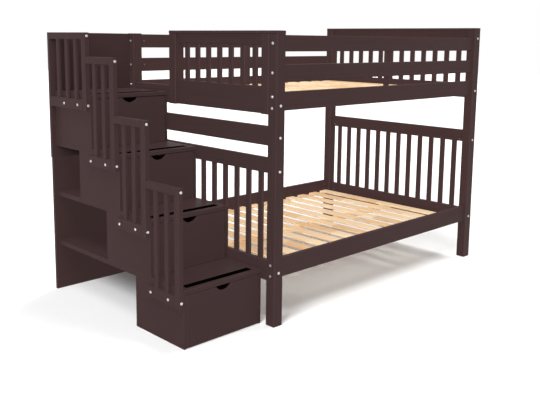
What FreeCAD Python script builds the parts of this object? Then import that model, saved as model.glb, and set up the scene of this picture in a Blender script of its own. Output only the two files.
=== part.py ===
# Bunk bed with a staircase of drawers. Millimetres, +X along the bed, +Y to the back, +Z up.
# The origin is on the floor, in the middle of the whole piece.
# Formulas are written from the bed's front left corner, and the frame offsets shift them to the origin.
import FreeCAD
import Part
import os
import re

DIMENSIONS = {
    # Posts and caps
    "bed_length": 2057,
    "bed_width": 1412,
    "post_side": 66,
    "post_joint_height": 950,
    "cap_thickness": 18,
    "dowel_radius": 6,
    "dowel_length": 70,
    "dowel_clearance": 0.2,
    "dowel_side_count": 12,
    "edge_ease": 2.5,
    # Side rails, cleats and decks
    "rail_thickness": 25,
    "lower_rail_rise": 24,
    "lower_rail_height": 114,
    "upper_rail_rise": 20,
    "upper_rail_height": 103,
    "cleat_width": 20,
    "cleat_height": 16,
    "upper_cleat_rise": 14,
    "deck_slat_width": 80,
    "deck_slat_thickness": 13,
    "deck_slat_count": 14,
    "deck_end_gap": 19,
    "deck_side_gap": 1.5,
    "deck_beam_width": 36,
    "deck_beam_height": 34,
    # End panels
    "end_rail_thickness": 25,
    "end_slat_width": 41,
    "end_slat_thickness": 12,
    "end_slat_count": 12,
    "low_rail_bottom": 250,
    "low_rail_height": 118,
    "low_top_rail_height": 86,
    "mid_board_rise": 66,
    "mid_board_height": 108,
    "high_rail_gap": 66,
    "left_high_rail_height": 150,
    "right_high_rail_height": 106,
    "left_slat_height": 225,
    "right_slat_height": 269,
    "left_top_rail_height": 57,
    "right_top_rail_height": 107,
    "entry_width": 390,
    "entry_sill_height": 112,
    "entry_slat_count": 7,
    "near_stile_width": 57,
    # Guards of the upper bunk
    "guard_board_height": 88,
    "low_guard_gap": 59,
    "top_guard_drop": 5,
    "upright_width": 44,
    "upright_thickness": 16,
    "upright_deck_gap": 10,
    # Bolts
    "bolt_radius": 3.5,
    "bolt_clearance": 0.25,
    "bolt_head_radius": 8,
    "bolt_head_height": 3,
    "bolt_head_side_count": 12,
    "bolt_shank_side_count": 6,
    "bolt_reach": 45,
    "rail_bolt_rise": 16,
    "rail_bolt_spacing": 62,
    "end_bolt_rise": 50,
    "top_bolt_rise": 16,
    # Stair unit
    "stair_gap": 4,
    "stair_width": 541,
    "stair_front": 103,
    "step_count": 4,
    "landing_rise": 74,
    "landing_depth": 417,
    "stair_panel_thickness": 15,
    "tread_thickness": 26,
    "bay_back_gap": 3,
    "back_panel_thickness": 22,
    "back_panel_joint_height": 850,
    "back_panel_drop": 2,
    "back_panel_step": 5,
    "grip_width": 42,
    "grip_setback": 32,
    "grip_end_margin": 42,
    "grip_thickness": 1.2,
    # Stair guards
    "stair_guard_thickness": 31,
    "stair_guard_height": 628,
    "stair_guard_drop": 6,
    "stile_width": 40,
    "guard_top_rail_height": 40,
    "guard_low_rail_height": 60,
    "guard_slat_width": 30,
    "guard_slat_thickness": 18,
    "guard_slat_count": 2,
    "landing_slat_count": 3,
    "guard_bolt_inset": 94,
    "guard_bolt_bite": 10,
    # Drawers
    "drawer_gap": 3,
    "drawer_front_thickness": 15,
    "drawer_wall_thickness": 12,
    "drawer_wall_drop": 64,
    "drawer_wall_rise": 20,
    "drawer_bottom_thickness": 6,
    "drawer_bottom_rise": 8,
    "drawer_back_gap": 9,
    "cutout_width": 107,
    "cutout_depth": 27,
    "track_thickness": 6,
    "track_height": 36,
    "track_clearance": 0.4,
    "track_rise": 80,
    "track_end_gap": 10,
    "cut_overrun": 1,
}

doc = FreeCAD.newDocument("bunk_bed")
sheet = doc.addObject("Spreadsheet::Sheet", "dims")
for row, (alias, value) in enumerate(DIMENSIONS.items(), start=1):
    sheet.set(f"A{row}", str(value))
    sheet.setAlias(f"A{row}", alias)
doc.recompute()

# Places that many pieces share, as formulas of the sheet's values
STAIR_REACH = "(stair_gap + stair_width + stair_guard_thickness)"
FRAME_X = f"({STAIR_REACH} - bed_length) / 2"
FRAME_Y = "-bed_width / 2"
POST_X = {"left": "0", "right": "(bed_length - post_side)"}
POST_Y = {"front": "0", "back": "(bed_width - post_side)"}
RAIL_Y = {side: f"({POST_Y[side]} + (post_side - rail_thickness) / 2)" for side in POST_Y}
END_RAIL_X = {end: f"({POST_X[end]} + (post_side - end_rail_thickness) / 2)" for end in POST_X}
CLEAR_LENGTH = "(bed_length - 2 * post_side)"
CLEAR_WIDTH = "(bed_width - 2 * post_side)"
FRONT_RAIL_BACK = f"({RAIL_Y['front']} + rail_thickness)"
BACK_RAIL_FRONT = RAIL_Y["back"]
ENTRY_POST_Y = "(bed_width - post_side - entry_width - post_side)"
LOW_TOP_RAIL_BOTTOM = "(post_joint_height - low_top_rail_height)"
MID_BOARD_BOTTOM = "(post_joint_height + mid_board_rise)"
HIGH_RAIL_BOTTOM = f"({MID_BOARD_BOTTOM} + mid_board_height + high_rail_gap)"
HIGH_RAIL_TOP = {end: f"({HIGH_RAIL_BOTTOM} + {end}_high_rail_height)" for end in POST_X}
TOP_RAIL_BOTTOM = {end: f"({HIGH_RAIL_TOP[end]} + {end}_slat_height)" for end in POST_X}
POST_TOP = {end: f"({TOP_RAIL_BOTTOM[end]} + {end}_top_rail_height)" for end in POST_X}
RAIL_BOTTOM = {
    "lower": "(low_rail_bottom + lower_rail_rise)",
    "upper": f"({HIGH_RAIL_BOTTOM} + upper_rail_rise)",
}
SLAT_BOTTOM = {
    "lower": f"({RAIL_BOTTOM['lower']} + cleat_height)",
    "upper": f"({RAIL_BOTTOM['upper']} + upper_cleat_rise + cleat_height)",
}
GUARD_BOTTOM = {
    "low_guard": f"({RAIL_BOTTOM['upper']} + upper_rail_height + low_guard_gap)",
    "top_guard": f"({POST_TOP['left']} - top_guard_drop - guard_board_height)",
}
STAIR_RIGHT = "(-stair_gap)"
STAIR_LEFT = "(-stair_gap - stair_width)"
STAIR_BACK = "(bed_width - back_panel_thickness)"
STAIR_TOP = f"({POST_TOP['left']} - back_panel_drop)"
STEP_RISE = f"(({HIGH_RAIL_BOTTOM} + landing_rise) / step_count)"
STEP_RUN = f"(({STAIR_BACK} - stair_front - landing_depth) / (step_count - 1))"
BAY_LEFT = f"({STAIR_LEFT} + stair_panel_thickness)"
BAY_WIDTH = "(stair_width - 2 * stair_panel_thickness)"
BAY_DEPTH = "(landing_depth + bay_back_gap + stair_panel_thickness)"
BAY_HEIGHT = f"({STEP_RISE} - tread_thickness)"

# Turns that point a rod's own +Z along each heading
TURNS = {
    "+x": FreeCAD.Rotation(FreeCAD.Vector(0, 1, 0), 90),
    "-x": FreeCAD.Rotation(FreeCAD.Vector(0, 1, 0), -90),
    "+y": FreeCAD.Rotation(FreeCAD.Vector(1, 0, 0), -90),
    "-y": FreeCAD.Rotation(FreeCAD.Vector(1, 0, 0), 90),
    "+z": FreeCAD.Rotation(),
}
OPPOSITE = {"+x": "-x", "-x": "+x", "+y": "-y", "-y": "+y"}

# Numbers of a box's four edges along each axis, the same for every box
UNIT_EDGES = Part.makeBox(1, 1, 1).Edges
LONG_EDGES = {
    axis: [n for n, edge in enumerate(UNIT_EDGES, start=1) if edge.tangentAt(edge.FirstParameter)[i] != 0]
    for i, axis in enumerate("xyz")
}

nodes = []


def bind(piece, prop, formula):
    """Ties a property to a formula of the sheet's values."""
    piece.setExpression(prop, re.sub(r"[a-z]\w*", r"dims.\g<0>", formula))


def set_at(piece, place):
    """Puts a piece's own origin at a place given from the bed's front left corner."""
    x, y, z = place
    bind(piece, "Placement.Base.x", f"{x} + {FRAME_X}")
    bind(piece, "Placement.Base.y", f"{y} + {FRAME_Y}")
    bind(piece, "Placement.Base.z", z)


def board(name, place, size):
    """A plain rectangular board."""
    piece = doc.addObject("Part::Box", name)
    for prop, formula in zip(("Length", "Width", "Height"), size):
        bind(piece, prop, formula)
    set_at(piece, place)
    return piece


def eased_board(name, place, size, grain):
    """A board whose four edges along the grain are planed off."""
    piece = doc.addObject("Part::Chamfer", f"{name}_eased")
    piece.Base = board(name, place, size)
    ease = sheet.get("edge_ease")
    piece.Edges = [(edge, ease, ease) for edge in LONG_EDGES[grain]]
    return piece


def rod(name, place, heading, radius, length):
    """A round rod from a place along a heading."""
    piece = doc.addObject("Part::Cylinder", name)
    piece.Placement.Rotation = TURNS[heading]
    bind(piece, "Radius", radius)
    bind(piece, "Height", length)
    set_at(piece, place)
    return piece


def faceted_rod(name, place, heading, radius, length, side_count):
    """A rod with few sides, for small pieces that repeat."""
    piece = doc.addObject("Part::Prism", name)
    piece.Placement.Rotation = TURNS[heading]
    bind(piece, "Polygon", side_count)
    bind(piece, "Circumradius", radius)
    bind(piece, "Height", length)
    set_at(piece, place)
    return piece


def compound(name, pieces):
    """Separate solids kept together under one name."""
    together = doc.addObject("Part::Compound", name)
    together.Links = pieces
    return together


def cut(name, piece, tools):
    """A piece with the tools' shapes cut out of it."""
    done = doc.addObject("Part::Cut", name)
    done.Base = piece
    done.Tool = tools[0] if len(tools) == 1 else compound(f"{name}_tools", tools)
    return done


def node(name, pieces):
    """Registers a finished sub-part, one solid or a group of like ones, under its file's name."""
    done = pieces[0] if len(pieces) == 1 else compound(name, pieces)
    done.Label = name
    nodes.append(done)


bolts = []


def bolt(name, place, heading, length):
    """Adds a round-headed bolt, and returns the hole that its shank runs in."""
    head = ("bolt_head_radius", "bolt_head_height", "bolt_head_side_count")
    shank = ("bolt_radius", length, "bolt_shank_side_count")
    hole = ("bolt_radius + bolt_clearance", f"{length} + bolt_clearance", "bolt_shank_side_count")
    whole = doc.addObject("Part::Fuse", name)
    whole.Base = faceted_rod(f"{name}_head", place, OPPOSITE[heading], *head)
    whole.Tool = faceted_rod(f"{name}_shank", place, heading, *shank)
    bolts.append(whole)
    return faceted_rod(f"{name}_hole", place, heading, *hole)


# Bolts of the bed: along X into side rails and guards, along Y into the end rails
ENDS = {"left": ("0", "+x"), "right": ("bed_length", "-x")}
SIDES = {"front": ("0", "+y"), "back": ("bed_width", "-y")}
BED_BOLT = "post_side + bolt_reach"
RAIL_BOLT_RISES = ["rail_bolt_rise", "rail_bolt_rise + rail_bolt_spacing"]
RAIL_BOLTS = {
    "lower_rail": [f"{RAIL_BOTTOM['lower']} + {rise}" for rise in RAIL_BOLT_RISES],
    "upper_rail": [f"{RAIL_BOTTOM['upper']} + {rise}" for rise in RAIL_BOLT_RISES],
    "low_guard": [f"{GUARD_BOTTOM['low_guard']} + guard_board_height / 2"],
    "top_guard": [f"{GUARD_BOTTOM['top_guard']} + guard_board_height / 2"],
}
END_BOLTS = {
    "low_rail": "low_rail_bottom + low_rail_height / 2",
    "low_top_rail": f"{LOW_TOP_RAIL_BOTTOM} + top_bolt_rise",
    "mid_board": f"{MID_BOARD_BOTTOM} + end_bolt_rise",
    "high_rail": f"{HIGH_RAIL_BOTTOM} + end_bolt_rise",
    "top_rail": f"{TOP_RAIL_BOTTOM['right']} + end_bolt_rise",
}
END_ROWS = {
    "left": ["low_rail", "low_top_rail", "mid_board", "high_rail"],
    "right": ["low_rail", "low_top_rail", "high_rail", "top_rail"],
}
holes = {}
for end, (face_x, along_x) in ENDS.items():
    for side, (face_y, along_y) in SIDES.items():
        middle_x = f"{POST_X[end]} + post_side / 2"
        middle_y = f"{POST_Y[side]} + post_side / 2"
        for row, heights in RAIL_BOLTS.items():
            holes[end, side, row] = [
                bolt(f"{row}_bolt_{end}_{side}_{n}", (face_x, middle_y, height), along_x, BED_BOLT)
                for n, height in enumerate(heights)
            ]
        for row in END_ROWS[end]:
            place = (middle_x, face_y, END_BOLTS[row])
            hole = bolt(f"end_{row}_bolt_{end}_{side}", place, along_y, BED_BOLT)
            holes[end, side, f"end_{row}"] = [hole]

# Posts in two lengths, pinned where the upper bed stands on the lower one
LOWER_ROWS = ["lower_rail", "end_low_rail", "end_low_top_rail"]
UPPER_ROWS = ["upper_rail", "low_guard", "top_guard", "end_mid_board", "end_high_rail", "end_top_rail"]
dowels = []
for end in ENDS:
    for side in SIDES:
        x, y = POST_X[end], POST_Y[side]
        pin_at = (f"{x} + post_side / 2", f"{y} + post_side / 2", "post_joint_height - dowel_length / 2")
        pin = ("dowel_radius", "dowel_length", "dowel_side_count")
        dowels.append(faceted_rod(f"dowel_{end}_{side}", pin_at, "+z", *pin))
        hole_at = (pin_at[0], pin_at[1], f"{pin_at[2]} - dowel_clearance")
        hole = ("dowel_radius + dowel_clearance", "dowel_length + 2 * dowel_clearance", "dowel_side_count")
        socket = faceted_rod(f"dowel_socket_{end}_{side}", hole_at, "+z", *hole)
        for level, bottom, top, rows in (
            ("lower", "0", "post_joint_height", LOWER_ROWS),
            ("upper", "post_joint_height", POST_TOP[end], UPPER_ROWS),
        ):
            name = f"{level}_post_{side}_{end}"
            size = ("post_side", "post_side", f"{top} - {bottom}")
            blank = eased_board(f"{name}_blank", (x, y, bottom), size, "z")
            tools = [hole for row in rows for hole in holes.get((end, side, row), [])]
            node(name, [cut(f"{name}_drilled", blank, tools + [socket])])
node("post_dowels", dowels)
entry_at = ("0", ENTRY_POST_Y, HIGH_RAIL_BOTTOM)
entry_size = ("post_side", "post_side", f"{POST_TOP['left']} - {HIGH_RAIL_BOTTOM}")
node("entry_post", [eased_board("entry_post_blank", entry_at, entry_size, "z")])

# Side rails with the cleats that carry the deck slats, and a beam under the middle of each deck
BEAM_START = f"({END_RAIL_X['left']} + end_rail_thickness)"
carriers = []
for level in ("lower", "upper"):
    for side in SIDES:
        name = f"{level}_side_rail_{side}"
        bottom = RAIL_BOTTOM[level]
        size = (CLEAR_LENGTH, "rail_thickness", f"{level}_rail_height")
        blank = eased_board(f"{name}_blank", ("post_side", RAIL_Y[side], bottom), size, "x")
        tools = holes["left", side, f"{level}_rail"] + holes["right", side, f"{level}_rail"]
        node(name, [cut(f"{name}_drilled", blank, tools)])
        cleat_y = FRONT_RAIL_BACK if side == "front" else f"{BACK_RAIL_FRONT} - cleat_width"
        cleat_size = (CLEAR_LENGTH, "cleat_width", "cleat_height")
        cleat_at = ("post_side", cleat_y, f"{SLAT_BOTTOM[level]} - cleat_height")
        carriers.append(board(f"{level}_cleat_{side}", cleat_at, cleat_size))
    beam_at = (BEAM_START, "(bed_width - deck_beam_width) / 2", f"{SLAT_BOTTOM[level]} - deck_beam_height")
    beam_size = (f"{END_RAIL_X['right']} - {BEAM_START}", "deck_beam_width", "deck_beam_height")
    carriers.append(board(f"{level}_beam", beam_at, beam_size))
node("deck_cleats", carriers)

# Bare slats laid across each deck
DECK_PITCH = f"({CLEAR_LENGTH} - 2 * deck_end_gap - deck_slat_width) / (deck_slat_count - 1)"
for level in ("lower", "upper"):
    slats = []
    for n in range(DIMENSIONS["deck_slat_count"]):
        place = (
            f"post_side + deck_end_gap + {n} * {DECK_PITCH}",
            f"{FRONT_RAIL_BACK} + deck_side_gap",
            SLAT_BOTTOM[level],
        )
        length = f"{BACK_RAIL_FRONT} - {FRONT_RAIL_BACK} - 2 * deck_side_gap"
        size = ("deck_slat_width", length, "deck_slat_thickness")
        slats.append(eased_board(f"{level}_deck_slat_{n}", place, size, "y"))
    node(f"{level}_deck_slats", slats)


def end_rail(name, end, start, length, bottom, height, drilled):
    """A rail of an end panel, in the middle of the posts' thickness, with its bolt holes."""
    place = (END_RAIL_X[end], start, bottom)
    blank = eased_board(f"{name}_blank", place, ("end_rail_thickness", length, height), "y")
    return cut(f"{name}_drilled", blank, drilled) if drilled else blank


def end_slats(name, end, start, span, count, bottom, top):
    """Upright slats between two rails of an end panel, with even gaps over a span."""
    x = f"{POST_X[end]} + (post_side - end_slat_thickness) / 2"
    gap = f"({span} - {count} * end_slat_width) / ({count} + 1)"
    size = ("end_slat_thickness", "end_slat_width", f"{top} - {bottom}")
    slats = []
    for n in range(DIMENSIONS[count]):
        y = f"{start} + {gap} + {n} * ({gap} + end_slat_width)"
        slats.append(eased_board(f"{name}_{n}", (x, y, bottom), size, "z"))
    return slats


# Lower end panels, one at each end and both alike
low_rails, low_top_rails, low_slats = [], [], []
for end in ENDS:
    low_rails.append(end_rail(
        f"low_rail_{end}", end, "post_side", CLEAR_WIDTH, "low_rail_bottom", "low_rail_height",
        holes[end, "front", "end_low_rail"] + holes[end, "back", "end_low_rail"],
    ))
    low_top_rails.append(end_rail(
        f"low_top_rail_{end}", end, "post_side", CLEAR_WIDTH, LOW_TOP_RAIL_BOTTOM, "low_top_rail_height",
        holes[end, "front", "end_low_top_rail"] + holes[end, "back", "end_low_top_rail"],
    ))
    low_slats += end_slats(
        f"low_slat_{end}", end, "post_side", CLEAR_WIDTH, "end_slat_count",
        "(low_rail_bottom + low_rail_height)", LOW_TOP_RAIL_BOTTOM,
    )
node("lower_panel_bottom_rails", low_rails)
node("lower_panel_top_rails", low_top_rails)
node("lower_panel_slats", low_slats)

# Board across the stair end between the two panels
node("mid_board", [
    end_rail(
        "mid_board", "left", "post_side", CLEAR_WIDTH, MID_BOARD_BOTTOM, "mid_board_height",
        holes["left", "front", "end_mid_board"] + holes["left", "back", "end_mid_board"],
    )
])

# Upper panel of the stair end, between a stile on the front post and the entry post
ENTRY_START = "(post_side + near_stile_width)"
ENTRY_SPAN = f"({ENTRY_POST_Y} - {ENTRY_START})"
node("upper_panel_bottom_rail_left", [
    end_rail(
        "left_high_rail", "left", ENTRY_START, ENTRY_SPAN, HIGH_RAIL_BOTTOM, "left_high_rail_height", [],
    )
])
node("entry_sill", [
    end_rail(
        "entry_sill", "left", f"{ENTRY_POST_Y} + post_side", "entry_width", HIGH_RAIL_BOTTOM,
        "entry_sill_height", holes["left", "back", "end_high_rail"],
    )
])
node("upper_panel_top_rail_left", [
    end_rail(
        "left_top_rail", "left", ENTRY_START, ENTRY_SPAN, TOP_RAIL_BOTTOM["left"], "left_top_rail_height",
        [],
    )
])
near_stile_size = ("post_side", "near_stile_width", f"{POST_TOP['left']} - {HIGH_RAIL_BOTTOM}")
near_stile = eased_board("near_stile", ("0", "post_side", HIGH_RAIL_BOTTOM), near_stile_size, "z")
node("upper_panel_slats_left", [
    cut("near_stile_drilled", near_stile, holes["left", "front", "end_high_rail"]),
    *end_slats(
        "left_high_slat", "left", ENTRY_START, ENTRY_SPAN, "entry_slat_count",
        HIGH_RAIL_TOP["left"], TOP_RAIL_BOTTOM["left"],
    ),
])
left_cap_size = ("post_side", f"{ENTRY_POST_Y} + post_side", "cap_thickness")
left_cap = eased_board("left_cap", ("0", "0", POST_TOP["left"]), left_cap_size, "y")

# Upper panel of the far end, taller and the full width
node("upper_panel_bottom_rail_right", [
    end_rail(
        "right_high_rail", "right", "post_side", CLEAR_WIDTH, HIGH_RAIL_BOTTOM, "right_high_rail_height",
        holes["right", "front", "end_high_rail"] + holes["right", "back", "end_high_rail"],
    )
])
node("upper_panel_top_rail_right", [
    end_rail(
        "right_top_rail", "right", "post_side", CLEAR_WIDTH, TOP_RAIL_BOTTOM["right"],
        "right_top_rail_height",
        holes["right", "front", "end_top_rail"] + holes["right", "back", "end_top_rail"],
    )
])
node("upper_panel_slats_right", end_slats(
    "right_high_slat", "right", "post_side", CLEAR_WIDTH, "end_slat_count",
    HIGH_RAIL_TOP["right"], TOP_RAIL_BOTTOM["right"],
))
right_cap_size = ("post_side", "bed_width", "cap_thickness")
right_cap = eased_board("right_cap", (POST_X["right"], "0", POST_TOP["right"]), right_cap_size, "y")
node("panel_caps", [left_cap, right_cap])

# Guard boards of the upper bunk, with one upright behind them on each side
UPRIGHT_BOTTOM = f"({SLAT_BOTTOM['upper']} + deck_slat_thickness + upright_deck_gap)"
boards, uprights = [], []
for side in SIDES:
    for row in ("low_guard", "top_guard"):
        name = f"{row}_{side}"
        size = (CLEAR_LENGTH, "rail_thickness", "guard_board_height")
        blank = eased_board(f"{name}_blank", ("post_side", RAIL_Y[side], GUARD_BOTTOM[row]), size, "x")
        boards.append(cut(f"{name}_drilled", blank, holes["left", side, row] + holes["right", side, row]))
    upright_y = FRONT_RAIL_BACK if side == "front" else f"{BACK_RAIL_FRONT} - upright_thickness"
    place = ("(bed_length - upright_width) / 2", upright_y, UPRIGHT_BOTTOM)
    height = f"{GUARD_BOTTOM['top_guard']} + guard_board_height - {UPRIGHT_BOTTOM}"
    size = ("upright_width", "upright_thickness", height)
    uprights.append(eased_board(f"upright_{side}", place, size, "z"))
node("guard_boards", boards)
node("guard_uprights", uprights)

# Stair unit: two back boards, then side panels, treads that run back as shelves, and partitions
steps = range(DIMENSIONS["step_count"])
last_step = steps[-1]
FRONTS = [f"(stair_front + {n} * {STEP_RUN})" for n in steps]
BASES = [f"({n} * {STEP_RISE})" for n in steps]
back_width = f"{STAIR_REACH} - back_panel_step"
low_back = board(
    "low_back", (f"-{STAIR_REACH} + back_panel_step", STAIR_BACK, "0"),
    (back_width, "back_panel_thickness", "back_panel_joint_height"),
)
high_back = board(
    "high_back", (f"-{STAIR_REACH}", STAIR_BACK, "back_panel_joint_height"),
    (STAIR_REACH, "back_panel_thickness", f"{STAIR_TOP} - back_panel_joint_height"),
)
node("stair_back_lower", [low_back])
node("stair_back_upper", [high_back])

GUARD_X = f"({STAIR_LEFT} - stair_guard_thickness)"
GUARD_BOLT = "stair_guard_thickness + guard_bolt_bite"
GUARD_RISE = f"({BAY_HEIGHT} - stair_guard_drop - guard_low_rail_height)"
guard_bolt_holes = {}
for n in steps:
    low_end = f"{FRONTS[n]} + guard_bolt_inset"
    high_end = f"{FRONTS[n]} + {STEP_RUN} - stile_width"
    height = f"{BASES[n]} + {GUARD_RISE} + guard_low_rail_height / 2"
    guard_bolt_holes[n] = [
        bolt(f"guard_rail_bolt_{n}_{m}", (GUARD_X, y, height), "+x", GUARD_BOLT)
        for m, y in enumerate((low_end, high_end))
    ]

left_panels, right_panels, treads, partitions, grips = [], [], [], [], []
for n in steps:
    left_depth = f"{STAIR_BACK} - {FRONTS[n]}" if n == last_step else BAY_DEPTH
    left_size = ("stair_panel_thickness", left_depth, BAY_HEIGHT)
    left = board(f"left_panel_{n}", (STAIR_LEFT, FRONTS[n], BASES[n]), left_size)
    left_panels.append(cut(f"left_panel_{n}_drilled", left, guard_bolt_holes[n]))
    right_size = ("stair_panel_thickness", f"{STAIR_BACK} - {FRONTS[n]}", BAY_HEIGHT)
    right_at = (f"{STAIR_RIGHT} - stair_panel_thickness", FRONTS[n], BASES[n])
    right_panels.append(board(f"right_panel_{n}", right_at, right_size))
    tread_at = (STAIR_LEFT, FRONTS[n], f"{BASES[n]} + {BAY_HEIGHT}")
    tread_size = ("stair_width", f"{STAIR_BACK} - {FRONTS[n]}", "tread_thickness")
    treads.append(eased_board(f"tread_{n}", tread_at, tread_size, "x"))
    grip_at = (
        f"{STAIR_LEFT} + grip_end_margin", f"{FRONTS[n]} + grip_setback", f"{BASES[n]} + {STEP_RISE}",
    )
    grip_size = ("stair_width - 2 * grip_end_margin", "grip_width", "grip_thickness")
    grips.append(board(f"grip_{n}", grip_at, grip_size))
    if n != last_step:
        wall_at = (BAY_LEFT, f"{FRONTS[n]} + {BAY_DEPTH} - stair_panel_thickness", BASES[n])
        wall_size = (BAY_WIDTH, "stair_panel_thickness", BAY_HEIGHT)
        partitions.append(board(f"partition_{n}", wall_at, wall_size))
node("stair_left_panels", left_panels)
node("stair_right_panels", right_panels)
node("stair_treads", treads)
node("drawer_bay_partitions", partitions)
node("grip_strips", grips)

# Slatted guards outside the left panels: each rises past the next step, the last one is the landing's
GUARD_MIDDLE = f"({STAIR_LEFT} - stair_guard_thickness / 2)"
STILE_BOLT = "stile_width + bolt_reach"
for n in steps:
    bottom = f"({BASES[n]} + {GUARD_RISE})"
    if n == last_step:
        top, rear, slat_count = STAIR_TOP, STAIR_BACK, "landing_slat_count"
    else:
        top, rear, slat_count = f"({bottom} + stair_guard_height)", FRONTS[n + 1], "guard_slat_count"
    rail_start = f"({FRONTS[n]} + stile_width)"
    rail_length = f"({rear} - {rail_start})"
    low_bolt_at = (GUARD_MIDDLE, FRONTS[n], f"{bottom} + guard_low_rail_height / 2")
    low_hole = bolt(f"stile_low_bolt_{n}", low_bolt_at, "+y", STILE_BOLT)
    top_bolt_at = (GUARD_MIDDLE, FRONTS[n], f"{top} - guard_top_rail_height / 2")
    top_hole = bolt(f"stile_top_bolt_{n}", top_bolt_at, "+y", STILE_BOLT)
    stile_size = ("stair_guard_thickness", "stile_width", f"{top} - {bottom}")
    stile = eased_board(f"stile_{n}", (GUARD_X, FRONTS[n], bottom), stile_size, "z")
    low_size = ("stair_guard_thickness", rail_length, "guard_low_rail_height")
    low_rail = eased_board(f"guard_low_rail_{n}", (GUARD_X, rail_start, bottom), low_size, "y")
    top_size = ("stair_guard_thickness", rail_length, "guard_top_rail_height")
    top_at = (GUARD_X, rail_start, f"{top} - guard_top_rail_height")
    top_rail = eased_board(f"guard_top_rail_{n}", top_at, top_size, "y")
    slat_x = f"{GUARD_MIDDLE} - guard_slat_thickness / 2"
    slat_z = f"({bottom} + guard_low_rail_height)"
    slat_gap = f"({rail_length} - {slat_count} * guard_slat_width) / ({slat_count} + 1)"
    slat_size = ("guard_slat_thickness", "guard_slat_width", f"{top} - guard_top_rail_height - {slat_z}")
    slats = []
    for m in range(DIMENSIONS[slat_count]):
        slat_y = f"{rail_start} + {slat_gap} + {m} * ({slat_gap} + guard_slat_width)"
        slats.append(eased_board(f"guard_slat_{n}_{m}", (slat_x, slat_y, slat_z), slat_size, "z"))
    node(f"stair_guard_{n + 1}", [
        cut(f"stile_{n}_drilled", stile, [low_hole, top_hole]),
        cut(f"guard_low_rail_{n}_drilled", low_rail, [low_hole] + guard_bolt_holes[n]),
        cut(f"guard_top_rail_{n}_drilled", top_rail, [top_hole]),
        *slats,
    ])

# Drawers: a front with a half-moon finger cut-out, a box behind it, and side tracks
FRONT_WIDTH = f"({BAY_WIDTH} - 2 * drawer_gap)"
FRONT_HEIGHT = f"({BAY_HEIGHT} - 2 * drawer_gap)"
CUTOUT_RADIUS = "((cutout_width * cutout_width / 4 + cutout_depth * cutout_depth) / (2 * cutout_depth))"
TRACK_SPACE = "(2 * track_thickness + track_clearance)"
WALL_DEPTH = "(landing_depth - drawer_front_thickness - drawer_back_gap)"
WALL_HEIGHT = f"({FRONT_HEIGHT} - drawer_wall_rise - drawer_wall_drop)"
TRACK_LENGTH = f"({WALL_DEPTH} - track_end_gap)"
tracks = []
for n in steps:
    name = f"drawer_{n + 1}"
    floor = f"({BASES[n]} + drawer_gap)"
    front_at = (f"{BAY_LEFT} + drawer_gap", FRONTS[n], floor)
    blank = board(f"{name}_front_blank", front_at, (FRONT_WIDTH, "drawer_front_thickness", FRONT_HEIGHT))
    moon_at = (
        f"{BAY_LEFT} + {BAY_WIDTH} / 2", f"{FRONTS[n]} - cut_overrun",
        f"{floor} + {FRONT_HEIGHT} - cutout_depth + {CUTOUT_RADIUS}",
    )
    moon_length = "drawer_front_thickness + 2 * cut_overrun"
    moon = rod(f"{name}_cutout", moon_at, "+y", CUTOUT_RADIUS, moon_length)
    node(f"{name}_front", [cut(f"{name}_front_cut", blank, [moon])])

    wall_y = f"({FRONTS[n]} + drawer_front_thickness)"
    wall_z = f"({floor} + drawer_wall_rise)"
    left_wall = f"({BAY_LEFT} + {TRACK_SPACE})"
    right_wall = f"({BAY_LEFT} + {BAY_WIDTH} - {TRACK_SPACE} - drawer_wall_thickness)"
    wall_size = ("drawer_wall_thickness", WALL_DEPTH, WALL_HEIGHT)
    inside = f"({BAY_WIDTH} - 2 * {TRACK_SPACE} - 2 * drawer_wall_thickness)"
    back_y = f"{wall_y} + {WALL_DEPTH} - drawer_wall_thickness"
    node(f"{name}_box", [
        board(f"{name}_left_wall", (left_wall, wall_y, wall_z), wall_size),
        board(f"{name}_right_wall", (right_wall, wall_y, wall_z), wall_size),
        board(
            f"{name}_back", (f"{left_wall} + drawer_wall_thickness", back_y, wall_z),
            (inside, "drawer_wall_thickness", WALL_HEIGHT),
        ),
    ])
    node(f"{name}_bottom", [
        board(
            f"{name}_bottom_board",
            (f"{left_wall} + drawer_wall_thickness", wall_y, f"{wall_z} + drawer_bottom_rise"),
            (inside, f"{WALL_DEPTH} - drawer_wall_thickness", "drawer_bottom_thickness"),
        )
    ])

    track_z = f"{wall_z} + track_rise"
    track_size = ("track_thickness", TRACK_LENGTH, "track_height")
    far_track = f"{BAY_LEFT} + {BAY_WIDTH} - track_thickness"
    tracks.append(board(f"{name}_fixed_track_left", (BAY_LEFT, wall_y, track_z), track_size))
    tracks.append(board(f"{name}_fixed_track_right", (far_track, wall_y, track_z), track_size))
    left_track = f"{left_wall} - track_thickness"
    right_track = f"{right_wall} + drawer_wall_thickness"
    node(f"{name}_tracks", [
        board(f"{name}_track_left", (left_track, wall_y, track_z), track_size),
        board(f"{name}_track_right", (right_track, wall_y, track_z), track_size),
    ])
node("drawer_bay_tracks", tracks)
node("bolts", bolts)

# Every object has to be sound before anything is written
doc.recompute()
for piece in doc.Objects:
    if "Invalid" in piece.State or "Error" in piece.State:
        raise RuntimeError(f"{piece.Name} failed: {piece.State}")
for piece in nodes:
    if piece.Shape.isNull() or not piece.Shape.isValid():
        raise RuntimeError(f"{piece.Label} has no valid shape")

os.makedirs("parts", exist_ok=True)
for piece in nodes:
    piece.Shape.exportStep(f"parts/{piece.Label}.step")
print(len(nodes), "nodes,", sum(len(piece.Shape.Solids) for piece in nodes), "solids")
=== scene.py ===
# Bunk bed with a staircase of drawers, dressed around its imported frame.
# Metres, +X along the bed away from the stairs, +Y to the back, +Z up.
import math

import bpy
from mathutils import Matrix, Vector


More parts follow.
